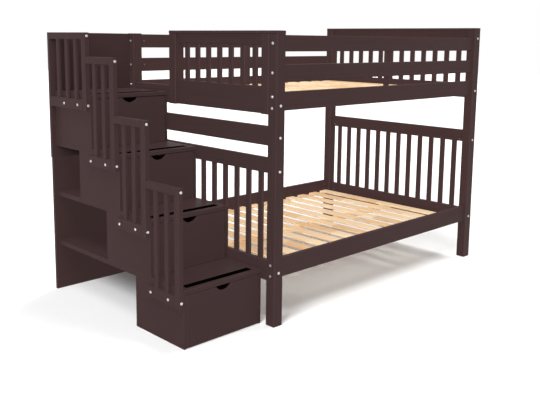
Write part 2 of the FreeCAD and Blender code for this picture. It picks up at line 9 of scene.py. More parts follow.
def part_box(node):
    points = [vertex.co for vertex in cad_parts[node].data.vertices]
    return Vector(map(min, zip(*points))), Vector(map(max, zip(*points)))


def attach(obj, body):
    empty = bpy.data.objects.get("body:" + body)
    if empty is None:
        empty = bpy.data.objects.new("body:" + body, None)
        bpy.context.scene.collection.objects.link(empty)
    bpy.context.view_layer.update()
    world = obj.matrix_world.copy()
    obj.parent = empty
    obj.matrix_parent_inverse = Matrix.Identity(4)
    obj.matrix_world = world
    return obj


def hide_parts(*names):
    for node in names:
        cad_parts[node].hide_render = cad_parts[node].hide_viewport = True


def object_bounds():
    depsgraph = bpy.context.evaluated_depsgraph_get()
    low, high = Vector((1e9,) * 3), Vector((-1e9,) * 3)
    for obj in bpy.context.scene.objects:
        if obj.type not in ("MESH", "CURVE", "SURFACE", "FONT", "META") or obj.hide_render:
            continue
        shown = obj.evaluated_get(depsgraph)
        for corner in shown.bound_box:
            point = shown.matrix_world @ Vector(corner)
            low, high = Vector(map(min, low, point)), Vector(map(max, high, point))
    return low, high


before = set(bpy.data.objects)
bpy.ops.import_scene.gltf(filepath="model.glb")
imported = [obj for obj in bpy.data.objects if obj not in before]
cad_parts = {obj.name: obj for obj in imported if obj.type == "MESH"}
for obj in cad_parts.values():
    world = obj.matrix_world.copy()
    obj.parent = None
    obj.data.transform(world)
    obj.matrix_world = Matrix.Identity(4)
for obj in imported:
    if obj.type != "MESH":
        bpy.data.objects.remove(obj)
cad_low, cad_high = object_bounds()
scene = bpy.context.scene
scene.view_settings.view_transform = "Standard"

# Posts: eight square lengths of solid pine, stacked in pairs, and a short one beside the entry.
# Each is planed with eased corners, drilled for bolts and sprayed with a satin dark brown paint.
# The paint is thin, so the grain still shows in its relief and a little in its colour.
ESPRESSO_DARK = (0.0490, 0.0280, 0.0282, 1)
ESPRESSO_LIGHT = (0.0560, 0.0324, 0.0326, 1)
# The rubbed edge tone is lighter than the faces: partly wear, partly a painted highlight where the edges
# catch the light.
ESPRESSO_RUBBED_AND_HIGHLIT = (0.067, 0.0400, 0.0400, 1)
PAINT_SPECULAR = 0.02
PAINT_ROUGHNESS = (0.40, 0.52)
PAINT_BUMP = (0.16, 0.0006)
SOLID_GRAIN = {"grain": 0.6, "peel": 0.25}
STREAK_STRETCH = (70, 70, 2.0)
STREAK_NOISE = {"Scale": 1.0, "Detail": 5.0, "Roughness": 0.62, "Distortion": 0.6}
STREAK_RANGE = (0.32, 0.68)
STREAK_LEAST_SHARE = 0.2
PORE_STRETCH = (420, 420, 11.0)
PORE_NOISE = {"Scale": 1.0, "Detail": 2.0}
PORE_SHARE = 0.6
MOTTLE_NOISE = {"Scale": 5.0, "Detail": 3.0}
MOTTLE_RANGE = (0.3, 0.7)
MOTTLE_SHARE = 0.35
PEEL_NOISE = {"Scale": 650.0, "Detail": 1.0}
GRAIN_TURNS = {"x": (0, math.pi / 2, 0), "y": (math.pi / 2, 0, 0), "z": (0, 0, 0)}
ROUND_OVER = 0.0014
ROUND_STEPS = 2
FLAT_ANGLE = math.radians(1)
CORNER_ANGLE = math.radians(30)
MERGE_REACH = 0.00001


def new_group(name, inputs, outputs):
    """An empty shader node group, with the sockets that it is given and the sockets that it makes."""
    group = bpy.data.node_groups.new(name, "ShaderNodeTree")
    for way, sockets in (("INPUT", inputs), ("OUTPUT", outputs)):
        for socket, kind in sockets.items():
            group.interface.new_socket(socket, in_out=way, socket_type=f"NodeSocket{kind}")
    return group, group.nodes.new("NodeGroupInput").outputs, group.nodes.new("NodeGroupOutput").inputs


def add_node(tree, kind, inputs=None, **settings):
    """A shader node with its settings, and with inputs that are values or links."""
    made = tree.nodes.new(kind)
    for setting, value in settings.items():
        setattr(made, setting, value)
    for socket, value in (inputs or {}).items():
        if isinstance(value, bpy.types.NodeSocket):
            tree.links.new(value, made.inputs[socket])
        else:
            made.inputs[socket].default_value = value
    return made


def work_out(tree, operation, first, second=0.0):
    """A sum on two values, each a number or a link."""
    return add_node(tree, "ShaderNodeMath", {0: first, 1: second}, operation=operation).outputs[0]


def rescale(tree, value, taken, given, **settings):
    """A value moved from one range to another."""
    ends = {"From Min": taken[0], "From Max": taken[1], "To Min": given[0], "To Max": given[1]}
    return add_node(tree, "ShaderNodeMapRange", {"Value": value, **ends}, **settings).outputs[0]


def stretched(tree, place, scale):
    """Coordinates scaled each way by its own factor."""
    return add_node(tree, "ShaderNodeMapping", {"Vector": place, "Scale": scale}).outputs[0]


def turned(tree, place, along):
    """Coordinates turned so that an axis of the bed lies along Z."""
    return add_node(tree, "ShaderNodeMapping", {"Vector": place, "Rotation": GRAIN_TURNS[along]}).outputs[0]


def add_noise(tree, place, noise):
    """Cloudy noise of some scale and detail."""
    return add_node(tree, "ShaderNodeTexNoise", {"Vector": place, **noise}).outputs["Fac"]


def mix_colours(tree, share, first, second):
    """One colour that shades into another."""
    return add_node(tree, "ShaderNodeMix", {0: share, 6: first, 7: second}, data_type="RGBA").outputs[2]


def make_painted_grain():
    """Grain under paint: long streaks, fine pores, and the orange peel of the spray."""
    group, given, made = new_group(
        "painted_grain",
        {"Along": "Vector", "Grain": "Float", "Peel": "Float"},
        {"Streaks": "Float", "Mottle": "Float", "Height": "Float"},
    )
    along = given["Along"]
    streaks = add_noise(group, stretched(group, along, STREAK_STRETCH), STREAK_NOISE)
    pores = add_noise(group, stretched(group, along, PORE_STRETCH), PORE_NOISE)
    peel = add_noise(group, along, PEEL_NOISE)
    grain = work_out(group, "ADD", streaks, work_out(group, "MULTIPLY", pores, PORE_SHARE))
    grain_height = work_out(group, "MULTIPLY", grain, given["Grain"])
    peel_height = work_out(group, "MULTIPLY", peel, given["Peel"])
    group.links.new(rescale(group, streaks, STREAK_RANGE, (0, 1)), made["Streaks"])
    group.links.new(add_noise(group, along, MOTTLE_NOISE), made["Mottle"])
    group.links.new(work_out(group, "ADD", grain_height, peel_height), made["Height"])
    return group


painted_grain = make_painted_grain()


def new_material(name):
    """An empty material with its shader, and object coordinates to read."""
    material = bpy.data.materials.new(name)
    material.use_nodes = True
    tree = material.node_tree
    place = add_node(tree, "ShaderNodeTexCoord").outputs["Object"]
    return material, tree, tree.nodes["Principled BSDF"], place


def lay_on(tree, shader, colour, roughness, height, bump, **settings):
    """Gives a shader its colour, its roughness, and a relief of some strength and depth."""
    strength, depth = bump
    inputs = {"Height": height, "Strength": strength, "Distance": depth}
    relief = add_node(tree, "ShaderNodeBump", inputs, **settings).outputs[0]
    for socket, link in (("Base Color", colour), ("Roughness", roughness), ("Normal", relief)):
        tree.links.new(link, shader.inputs[socket])


def espresso_paint(name, along, dark=ESPRESSO_DARK, light=ESPRESSO_LIGHT, grain=0.0, peel=0.0):
    """Satin dark brown paint on wood whose grain runs along one axis."""
    material, tree, shader, place = new_material(name)
    inputs = {"Along": turned(tree, place, along), "Grain": grain, "Peel": peel}
    figure = add_node(tree, "ShaderNodeGroup", inputs, node_tree=painted_grain).outputs
    streaks = work_out(tree, "MULTIPLY", figure["Streaks"], min(1.0, STREAK_LEAST_SHARE + grain))
    tone = work_out(tree, "ADD", streaks, work_out(tree, "MULTIPLY", figure["Mottle"], MOTTLE_SHARE))
    gloss = rescale(tree, figure["Mottle"], MOTTLE_RANGE, PAINT_ROUGHNESS)
    lay_on(tree, shader, mix_colours(tree, tone, dark, light), gloss, figure["Height"], PAINT_BUMP)
    shader.inputs["Specular IOR Level"].default_value = PAINT_SPECULAR
    return material


def paint_pair(name, along, **wood):
    """Paint for the faces of a board, and a lighter paint for its edges: partly rubbed wear, partly a painted
    highlight along the edges.
    """
    faces = espresso_paint(f"{name}_paint", along, **wood)
    return faces, espresso_paint(f"{name}_edge", along, ESPRESSO_LIGHT, ESPRESSO_RUBBED_AND_HIGHLIT, **wood)


def round_over(name, finishes, width=ROUND_OVER):
    """Sands a board's edges round and gives its faces and its edges their finishes."""
    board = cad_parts[name]
    board.data.materials.clear()
    for finish in finishes:
        board.data.materials.append(finish)
    weld = board.modifiers.new("weld", "WELD")
    weld.merge_threshold = MERGE_REACH
    flats = board.modifiers.new("flats", "DECIMATE")
    flats.decimate_type = "DISSOLVE"
    flats.angle_limit = FLAT_ANGLE
    edges = board.modifiers.new("round_over", "BEVEL")
    edges.width = width
    edges.segments = ROUND_STEPS
    edges.limit_method = "ANGLE"
    edges.angle_limit = CORNER_ANGLE
    # The rounded edges take the second finish; on painted boards that is the lighter edge paint, partly wear
    # and partly a painted highlight.
    edges.material = 1


upright = paint_pair("upright", "z", **SOLID_GRAIN)
for level in ("lower", "upper"):
    for corner in ("front_left", "front_right", "back_left", "back_right"):
        round_over(f"{level}_post_{corner}", upright)
round_over("entry_post", upright)

# Side rails and guard boards: long pine boards between the posts, with the grain along the bed.
# The two guard boards on each side are screwed to one upright in the middle of the bed.
lengthways = paint_pair("lengthways", "x", **SOLID_GRAIN)
for side in ("front", "back"):
    for level in ("lower", "upper"):
        round_over(f"{level}_side_rail_{side}", lengthways)
round_over("guard_boards", lengthways)
round_over("guard_uprights", upright)

# End panels: rails across the bed with upright slats between them, under a cap on the upper ones.
# The stair end also has a stile beside its near post, a board between its two panels, and a sill
# at the entry.
crossways = paint_pair("crossways", "y", **SOLID_GRAIN)
for name in ("lower_panel_bottom_rails", "lower_panel_top_rails", "mid_board", "entry_sill", "panel_caps"):
    round_over(name, crossways)
for end in ("left", "right"):
    round_over(f"upper_panel_bottom_rail_{end}", crossways)
    round_over(f"upper_panel_top_rail_{end}", crossways)
    round_over(f"upper_panel_slats_{end}", upright)
round_over("lower_panel_slats", upright)

# Bolts: bright zinc furniture bolts with a low domed head and a hexagon socket.
# They run through the posts and stiles into the rails, where most of them turn into a cross dowel.
BOLT_HEAD_RADIUS = 0.008
BOLT_HEAD_HEIGHT = 0.003
BOLT_HEAD_SIDES = 24
BOLT_DOME = 0.0016
BOLT_DOME_STEPS = 3
SOCKET_RADIUS = 0.0032
SOCKET_DEPTH = 0.0018
SOCKET_SIDES = 6
HEAD_REACH_SHARE = 0.8
ZINC = {"colour": (0.62, 0.62, 0.61, 1), "roughness": (0.22, 0.45), "scratch_scale": 900.0}
SMOOTH_ANGLE = math.radians(35)
METAL_SHARE = 0.8
METAL_BUMP = (0.08, 0.0002)
SCRATCH_STRETCH = (1, 1, 0.05)
SCRATCH_DETAIL = 3.0
STAIN_NOISE = {"Scale": 160.0, "Detail": 2.0}
STAIN_SHARE = 0.72


def deselect():
    """Leaves object mode with nothing selected."""
    if bpy.context.mode != "OBJECT":
        bpy.ops.object.mode_set(mode="OBJECT")
    bpy.ops.object.select_all(action="DESELECT")


def separate_solids(name):
    """The corners of every separate solid in a node, from a scratch copy of its mesh."""
    deselect()
    scratch = bpy.data.objects.new("scratch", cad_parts[name].data.copy())
    scene.collection.objects.link(scratch)
    scratch.select_set(True)
    bpy.context.view_layer.objects.active = scratch
    bpy.ops.object.mode_set(mode="EDIT")
    bpy.ops.mesh.select_all(action="SELECT")
    bpy.ops.mesh.remove_doubles(threshold=MERGE_REACH)
    bpy.ops.mesh.separate(type="LOOSE")
    bpy.ops.object.mode_set(mode="OBJECT")
    pieces = bpy.context.selected_objects
    solids = [[corner.co.copy() for corner in piece.data.vertices] for piece in pieces]
    bpy.ops.object.delete()
    return solids


def box_of(corners):
    """The lowest and the highest corner of some points."""
    low = Vector(min(corner[i] for corner in corners) for i in range(3))
    high = Vector(max(corner[i] for corner in corners) for i in range(3))
    return low, high


def select_edges(piece, wanted):
    """In edit mode, selects only the edges whose two ends pass a test."""
    bpy.ops.mesh.select_mode(type="EDGE")
    bpy.ops.mesh.select_all(action="DESELECT")
    bpy.ops.object.mode_set(mode="OBJECT")
    points = piece.data.vertices
    for edge in piece.data.edges:
        edge.select = wanted(points[edge.vertices[0]].co, points[edge.vertices[1]].co)
    bpy.ops.object.mode_set(mode="EDIT")


def ease_top(piece, above, width, steps):
    """In edit mode, bevels the edges that lie above a level."""
    select_edges(piece, lambda a, b: min(a.z, b.z) > above)
    bpy.ops.mesh.bevel(offset=width, segments=steps, affect="EDGES")


def cut_away(piece, tool):
    """Cuts a tool's shape out of a piece, and clears the tool away."""
    cutter = piece.modifiers.new("cutter", "BOOLEAN")
    cutter.object = tool
    cutter.operation = "DIFFERENCE"
    cutter.solver = "EXACT"
    deselect()
    bpy.context.view_layer.objects.active = piece
    bpy.ops.object.modifier_apply(modifier="cutter")
    bpy.data.objects.remove(tool)


def set_out(pattern, places, name):
    """Copies a piece modelled at the origin to every place, and joins the copies into one."""
    deselect()
    for place in places:
        copy = bpy.data.objects.new(name, pattern.data.copy())
        copy.data.transform(place)
        scene.collection.objects.link(copy)
        copy.select_set(True)
        bpy.context.view_layer.objects.active = copy
    bpy.ops.object.join()
    joined = bpy.context.view_layer.objects.active
    joined.name = name
    bpy.data.objects.remove(pattern)
    return joined


def smooth(piece):
    """Shades the gentle bends of a piece smooth and leaves its corners sharp."""
    deselect()
    piece.select_set(True)
    bpy.context.view_layer.objects.active = piece
    bpy.ops.object.shade_smooth_by_angle(angle=SMOOTH_ANGLE)


def facing(direction, seat):
    """The place of a piece that points along +Z, turned to a direction and moved to its seat."""
    return Matrix.Translation(seat) @ direction.to_track_quat("Z", "Y").to_matrix().to_4x4()


def bright_metal(name, colour, roughness, scratch_scale):
    """Plated steel with fine drawn scratches and faint cloudy stains."""
    material, tree, shader, place = new_material(name)
    noise = {"Scale": scratch_scale, "Detail": SCRATCH_DETAIL}
    scratches = add_noise(tree, stretched(tree, place, SCRATCH_STRETCH), noise)
    stained = tuple(STAIN_SHARE * channel for channel in colour[:3]) + (1,)
    shine = mix_colours(tree, add_noise(tree, place, STAIN_NOISE), stained, colour)
    lay_on(tree, shader, shine, rescale(tree, scratches, (0, 1), roughness), scratches, METAL_BUMP)
    shader.inputs["Metallic"].default_value = METAL_SHARE
    return material


zinc_steel = bright_metal("zinc_steel", **ZINC)

bolts = []
for corners in separate_solids("bolts"):
    low, high = box_of(corners)
    along = max(range(3), key=lambda i: high[i] - low[i])
    middle = (low + high) / 2
    reaches = [math.hypot(*[(corner - middle)[i] for i in range(3) if i != along]) for corner in corners]
    head_reach = HEAD_REACH_SHARE * max(reaches)
    head_side = [corner[along] for corner, reach in zip(corners, reaches) if reach > head_reach]
    outward = Vector((0, 0, 0))
    outward[along] = 1 if sum(head_side) / len(head_side) > middle[along] else -1
    seat = middle.copy()
    seat[along] = (high if outward[along] > 0 else low)[along] - outward[along] * BOLT_HEAD_HEIGHT
    bolts.append((seat, outward, high[along] - low[along] - BOLT_HEAD_HEIGHT))

deselect()
bpy.ops.mesh.primitive_cylinder_add(
    vertices=BOLT_HEAD_SIDES, radius=BOLT_HEAD_RADIUS, depth=BOLT_HEAD_HEIGHT,
    location=(0, 0, BOLT_HEAD_HEIGHT / 2),
)
bolt_head = bpy.context.object
bpy.ops.object.transform_apply(location=True)
bpy.ops.object.mode_set(mode="EDIT")
ease_top(bolt_head, BOLT_HEAD_HEIGHT / 2, BOLT_DOME, BOLT_DOME_STEPS)
bpy.ops.object.mode_set(mode="OBJECT")
bpy.ops.mesh.primitive_cylinder_add(
    vertices=SOCKET_SIDES, radius=SOCKET_RADIUS, depth=2 * SOCKET_DEPTH, location=(0, 0, BOLT_HEAD_HEIGHT),
)
cut_away(bolt_head, bpy.context.object)
bolt_head.data.materials.append(zinc_steel)
bolt_heads = set_out(bolt_head, [facing(outward, seat) for seat, outward, length in bolts], "bolt_heads")
smooth(bolt_heads)
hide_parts("bolts")
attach(bolt_heads, "frame")

# Cross dowels: short zinc bars across the rails that the bolts turn into.
# Only their dull slotted ends show, all but flush with the inner faces of the rails.
# The bolt in the stile beside the near post has a buried nut instead, and the short bolts have none.
DOWEL_END_RADIUS = 0.005
DOWEL_END_DEPTH = 0.002
DOWEL_END_SIDES = 20
DOWEL_EASE = 0.0004
DOWEL_EASE_STEPS = 2
DOWEL_PROUD = 0.0003
DOWEL_SLOT = 0.0014
DOWEL_SLOT_RUN = 3 * DOWEL_END_RADIUS
DOWEL_SETBACK = 0.012
SHORT_BOLT = 0.060
DULL_ZINC = {"colour": (0.20, 0.19, 0.18, 1), "roughness": (0.50, 0.70), "scratch_scale": 700.0}
RAIL_HALF = (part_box("lower_side_rail_front")[1].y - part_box("lower_side_rail_front")[0].y) / 2
GUARD_HALF = (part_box("stair_guard_1")[1].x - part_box("stair_guard_1")[0].x) / 2
LANDING_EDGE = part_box("stair_right_panels")[1].x
dull_zinc = bright_metal("dull_zinc", **DULL_ZINC)

deselect()
bpy.ops.mesh.primitive_cylinder_add(vertices=DOWEL_END_SIDES, radius=DOWEL_END_RADIUS, depth=DOWEL_END_DEPTH)
dowel_end = bpy.context.object
bpy.ops.object.mode_set(mode="EDIT")
ease_top(dowel_end, 0, DOWEL_EASE, DOWEL_EASE_STEPS)
bpy.ops.object.mode_set(mode="OBJECT")
bpy.ops.mesh.primitive_cube_add(size=1, location=(0, 0, DOWEL_END_DEPTH / 2))
slot_cutter = bpy.context.object
slot_cutter.scale = (DOWEL_SLOT_RUN, DOWEL_SLOT, DOWEL_END_DEPTH)
cut_away(dowel_end, slot_cutter)
dowel_end.data.materials.append(dull_zinc)
panel_boxes = [box_of(corners) for corners in separate_solids("upper_panel_slats_left")]
stile_low, stile_high = max(panel_boxes, key=lambda box: box[1].x - box[0].x)
dowel_places = []
for seat, outward, length in bolts:
    nut = seat - outward * (length - DOWEL_SETBACK)
    in_stile = all(stile_low[i] < nut[i] < stile_high[i] for i in range(3))
    if length < SHORT_BOLT or in_stile:
        continue
    on_stairs = seat.x < LANDING_EDGE
    inward = Vector((0, 0, 0))
    if on_stairs:
        inward.x = 1
    elif outward.x:
        inward.y = -math.copysign(1, seat.y)
    else:
        inward.x = -math.copysign(1, seat.x)
    face = (GUARD_HALF if on_stairs else RAIL_HALF) - DOWEL_END_DEPTH / 2 + DOWEL_PROUD
    dowel_places.append(facing(inward, nut + inward * face))
cross_dowels = set_out(dowel_end, dowel_places, "cross_dowels")
smooth(cross_dowels)
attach(cross_dowels, "frame")

# Deck slats: bare sanded pine, laid across the bed on cleats inside the side rails and on a beam
# in the middle. Each is glued up from short flat-sawn blocks with finger joints, so its tone and
# figure change along it.
PINE_EARLY = (0.93, 0.73, 0.48, 1)
PINE_LATE = (0.78, 0.49, 0.24, 1)
PINE_KNOT = (0.25, 0.115, 0.05, 1)
PINE_SPECULAR = 0.04
PINE_ROUGHNESS = (0.62, 0.50)
PINE_BUMP = (0.22, 0.0006)
BLOCK_TINTS = {"Hue": (0.487, 0.502), "Saturation": (1.15, 0.88), "Value": (0.86, 1.06)}
RINGS_PER_METRE = 105.0
RING_RANGE = (-0.2, 1.0)
RING_TONE_SHARE = 0.55
RING_HEIGHT_SHARE = 0.3
FIBRE_STRETCH = (520, 520, 9.0)
FIBRE_NOISE = {"Scale": 1.0, "Detail": 3.0}
FIBRE_TONE_SHARE = 0.30
FIBRE_HEIGHT_SHARE = 0.6
BEND_STRETCH = (5, 5, 1.3)
BEND_NOISE = {"Scale": 1.0, "Detail": 2.0}
BEND_REACH = 0.11
KNOT_STRETCH = (13, 13, 2.6)
KNOT_RARITY = 0.70
KNOT_SPOT = (0.06, 0.15)
KNOT_PULL = 0.02
KNOT_PULL_REACH = 0.5
KNOT_SHARE = 0.85
SEED_STEPS = (0.31, 0.17, 7.3)
SEED_SPREAD = 40.0
BLOCK_LENGTH = 0.34
FINGER_PITCH = 0.005
FINGER_DEPTH = 0.012
DECK_STEP = 37.0
BOARD_STEP = 19.0
SLAT_ROUND = 0.001
DOWEL_ROUND = 0.0005


def split(tree, place):
    """The three coordinates of a place, each as a value."""
    return add_node(tree, "ShaderNodeSeparateXYZ", {0: place}).outputs


def make_pine_figure():
    """Growth rings, fibres and knots of a pine board whose length lies along Z."""
    group, given, made = new_group(
        "pine_figure",
        {"Along": "Vector", "Seed": "Float"},
        {"Rings": "Float", "Fibres": "Float", "Knots": "Float", "Height": "Float"},
    )
    steps = {i: work_out(group, "MULTIPLY", given["Seed"], step) for i, step in enumerate(SEED_STEPS)}
    shuffle = add_node(group, "ShaderNodeCombineXYZ", steps).outputs[0]
    log = add_node(group, "ShaderNodeVectorMath", {0: given["Along"], 1: shuffle}, operation="ADD").outputs[0]
    bend = add_noise(group, stretched(group, log, BEND_STRETCH), BEND_NOISE)
    across = work_out(group, "ADD", split(group, log)[0], work_out(group, "MULTIPLY", bend, BEND_REACH))
    knot_cells = {"Vector": stretched(group, log, KNOT_STRETCH), "Scale": 1.0}
    knots = add_node(group, "ShaderNodeTexVoronoi", knot_cells).outputs
    rare = work_out(group, "GREATER_THAN", knots["Color"], KNOT_RARITY)
    knot_spot = rescale(group, knots["Distance"], KNOT_SPOT, (1, 0))
    knot_pull = rescale(group, knots["Distance"], (0, KNOT_PULL_REACH), (KNOT_PULL, 0))
    pulled = work_out(group, "ADD", across, work_out(group, "MULTIPLY", knot_pull, rare))
    wave = work_out(group, "SINE", work_out(group, "MULTIPLY", pulled, RINGS_PER_METRE * math.tau))
    rings = rescale(group, wave, RING_RANGE, (0, 1), interpolation_type="SMOOTHSTEP")
    fibres = add_noise(group, stretched(group, log, FIBRE_STRETCH), FIBRE_NOISE)
    fibre_height = work_out(group, "MULTIPLY", fibres, FIBRE_HEIGHT_SHARE)
    ring_height = work_out(group, "MULTIPLY", rings, RING_HEIGHT_SHARE)
    group.links.new(rings, made["Rings"])
    group.links.new(fibres, made["Fibres"])
    group.links.new(work_out(group, "MULTIPLY", knot_spot, rare), made["Knots"])
    group.links.new(work_out(group, "ADD", fibre_height, ring_height), made["Height"])
    return group


pine_figure = make_pine_figure()


def draw_lot(tree, number):
    """A value by chance, from nought to one, that stays the same for one number."""
    return add_node(tree, "ShaderNodeTexWhiteNoise", {"W": number}, noise_dimensions="1D").outputs["Value"]


def bare_pine(name, along, first, pitch):
    """Sanded pine, another board at each step of the pitch and another block along each board."""
    material, tree, shader, place = new_material(name)
    spot = split(tree, place)
    boards_before = work_out(tree, "DIVIDE", work_out(tree, "SUBTRACT", spot[0], first), pitch)
    board = work_out(tree, "FLOOR", boards_before)
    deck = work_out(tree, "FLOOR", spot[2])
    board_number = work_out(tree, "ADD", board, work_out(tree, "MULTIPLY", deck, DECK_STEP))
    grain_place = turned(tree, place, along)
    grain_spot = split(tree, grain_place)
    zigzag = work_out(tree, "PINGPONG", grain_spot[0], FINGER_PITCH / 2)
    fingers = work_out(tree, "MULTIPLY", zigzag, 2 * FINGER_DEPTH / FINGER_PITCH)
    run = work_out(tree, "DIVIDE", work_out(tree, "ADD", grain_spot[2], fingers), BLOCK_LENGTH)
    block = work_out(tree, "FLOOR", work_out(tree, "ADD", run, draw_lot(tree, board_number)))
    block_number = work_out(tree, "ADD", block, work_out(tree, "MULTIPLY", board_number, BOARD_STEP))
    chance = draw_lot(tree, block_number)
    seed = work_out(tree, "MULTIPLY", chance, SEED_SPREAD)
    inputs = {"Along": grain_place, "Seed": seed}
    figure = add_node(tree, "ShaderNodeGroup", inputs, node_tree=pine_figure).outputs
    ring_tone = work_out(tree, "MULTIPLY", figure["Rings"], RING_TONE_SHARE)
    fibre_tone = work_out(tree, "MULTIPLY", figure["Fibres"], FIBRE_TONE_SHARE)
    wood = mix_colours(tree, work_out(tree, "ADD", ring_tone, fibre_tone), PINE_EARLY, PINE_LATE)
    tints = {socket: rescale(tree, chance, (0, 1), ends) for socket, ends in BLOCK_TINTS.items()}
    tinted = add_node(tree, "ShaderNodeHueSaturation", {"Color": wood, **tints}).outputs[0]
    knotted = mix_colours(tree, work_out(tree, "MULTIPLY", figure["Knots"], KNOT_SHARE), tinted, PINE_KNOT)
    gloss = rescale(tree, figure["Rings"], (0, 1), PINE_ROUGHNESS)
    lay_on(tree, shader, knotted, gloss, figure["Height"], PINE_BUMP)
    shader.inputs["Specular IOR Level"].default_value = PINE_SPECULAR
    return material


slat_boxes = {}
for name in ("lower_deck_slats", "upper_deck_slats"):
    boxes = (box_of(corners) for corners in separate_solids(name))
    slat_boxes[name] = sorted(boxes, key=lambda box: box[0].x)
first_slat, next_slat = (low.x for low, high in slat_boxes["lower_deck_slats"][:2])
slat_pitch = next_slat - first_slat
slat_pine = bare_pine("slat_pine", "y", first_slat - slat_pitch / 4, slat_pitch)
cleat_pine = bare_pine("cleat_pine", "x", cad_low.x, cad_high.x - cad_low.x)
for name in slat_boxes:
    round_over(name, (slat_pine, slat_pine), SLAT_ROUND)
round_over("deck_cleats", (cleat_pine, cleat_pine), SLAT_ROUND)
round_over("post_dowels", (slat_pine, slat_pine), DOWEL_ROUND)

# Slat screws: one countersunk cross-head screw through each end of every slat into its cleat.
# Yellow zinc, driven all but flush with the top of the slat.
SCREW_RADIUS = 0.0036
SCREW_DEPTH = 0.0016
SCREW_SIDES = 16
SCREW_PROUD = 0.0002
SCREW_INSET = 0.011
CROSS_WIDTH = 0.0009
CROSS_LENGTH = 0.0042
YELLOW_ZINC = {"colour": (0.72, 0.56, 0.27, 1), "roughness": (0.25, 0.5), "scratch_scale": 1200.0}
yellow_zinc = bright_metal("yellow_zinc", **YELLOW_ZINC)

deselect()
bpy.ops.mesh.primitive_cone_add(
    vertices=SCREW_SIDES, radius1=SCREW_RADIUS / 2, radius2=SCREW_RADIUS, depth=SCREW_DEPTH,
    location=(0, 0, SCREW_PROUD - SCREW_DEPTH / 2),
)
slat_screw = bpy.context.object
bpy.ops.object.transform_apply(location=True)
for turn in (0, math.pi / 2):
    bpy.ops.mesh.primitive_cube_add(size=1, location=(0, 0, SCREW_PROUD), rotation=(0, 0, turn))
    blade = bpy.context.object
    blade.scale = (CROSS_LENGTH, CROSS_WIDTH, SCREW_DEPTH)
    cut_away(slat_screw, blade)
slat_screw.data.materials.append(yellow_zinc)
screw_places = []
for boxes in slat_boxes.values():
    for low, high in boxes:
        for y in (low.y + SCREW_INSET, high.y - SCREW_INSET):
            screw_places.append(Matrix.Translation(((low.x + high.x) / 2, y, high.z)))
slat_screws = set_out(slat_screw, screw_places, "slat_screws")
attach(slat_screws, "frame")

# Stair carcass: painted board, with two back boards, side panels, partitions, and treads that run
# back as shelves. Board has hardly any grain, so the paint lies flat on it with little but the
# orange peel of the spray.
FLAT_BOARD = {"grain": 0.08, "peel": 0.35}
BOARD_ROUND = 0.001
board = paint_pair("board", "x", **FLAT_BOARD)
for name in (
    "stair_back_lower", "stair_back_upper", "stair_left_panels", "stair_right_panels", "stair_treads",
    "drawer_bay_partitions",
):
    round_over(name, board, BOARD_ROUND)

# Stair guards: four slatted panels outside the stairs, each with a stile, two rails and slats of
# painted pine. Stiles and rails are bolted together, and the lower rails to the side panels.
STEPS = range(1, 5)
for number in STEPS:
    round_over(f"stair_guard_{number}", upright)

# Grip strips: black mineral grit on tape, one stuck near the front edge of each tread.
# Cut with round corners, and as thin as coarse sandpaper.
GRIP_CORNER = 0.005
GRIP_CORNER_STEPS = 5
GRIP_EDGE = 0.0004
GRIP_EDGE_STEPS = 2
GRIT_DARK = (0.0004, 0.0004, 0.0004, 1)
GRIT_LIGHT = (0.003, 0.003, 0.003, 1)
GRIT_SCALE = 900.0
GRIT_ROUGHNESS = (0.9, 0.45)
GRIT_BUMP = (0.7, 0.0006)
GLINT_RANGE = (0.75, 1.0)
GLINT_SHARE = 0.6
WEAR_NOISE = {"Scale": 14.0, "Detail": 4.0}
WEAR_SHARE = 0.3


def mineral_grit(name):
    """Black grit in resin: crowded grains with a few that glint."""
    material, tree, shader, place = new_material(name)
    grains = add_node(tree, "ShaderNodeTexVoronoi", {"Vector": place, "Scale": GRIT_SCALE}).outputs
    wear = work_out(tree, "MULTIPLY", add_noise(tree, place, WEAR_NOISE), WEAR_SHARE)
    glint = rescale(tree, grains["Color"], GLINT_RANGE, (0, GLINT_SHARE))
    colour = mix_colours(tree, work_out(tree, "ADD", glint, wear), GRIT_DARK, GRIT_LIGHT)
    gloss = rescale(tree, glint, (0, 1), GRIT_ROUGHNESS)
    lay_on(tree, shader, colour, gloss, grains["Distance"], GRIT_BUMP, invert=True)
    shader.inputs["Specular IOR Level"].default_value = 0.0
    return material


def add_block(name, low, high):
    """A block between two corners, at the origin with its place in its mesh, left in edit mode."""
    deselect()
    bpy.ops.mesh.primitive_cube_add(size=1, location=(low + high) / 2)
    block = bpy.context.object
    block.name = name
    block.scale = high - low
    bpy.ops.object.transform_apply(location=True, rotation=False, scale=True)
    bpy.ops.object.mode_set(mode="EDIT")
    return block


grit = mineral_grit("mineral_grit")
grip_boxes = sorted((box_of(corners) for corners in separate_solids("grip_strips")), key=lambda box: box[0].z)
for number, (low, high) in enumerate(grip_boxes, start=1):
    strip = add_block(f"grip_strip_{number}", low, high)
    select_edges(strip, lambda a, b: abs(a.z - b.z) > 0)
    bpy.ops.mesh.bevel(offset=GRIP_CORNER, segments=GRIP_CORNER_STEPS, affect="EDGES")
    ease_top(strip, high.z - GRIP_EDGE / 2, GRIP_EDGE, GRIP_EDGE_STEPS)
    bpy.ops.object.mode_set(mode="OBJECT")
    strip.data.materials.append(grit)
    smooth(strip)
    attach(strip, "frame")
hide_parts("grip_strips")

# Drawers: a painted front with a half-moon finger cut-out, and a box of painted board behind it.
# The box is held by cam fittings, and its thin bottom lies in a groove.
BOX_ROUND = 0.001
BOTTOM_ROUND = 0.0005
BOX_BOARD = {"grain": 0.2, "peel": 0.3}
BOTTOM_BOARD = {"grain": 0.1, "peel": 0.15}
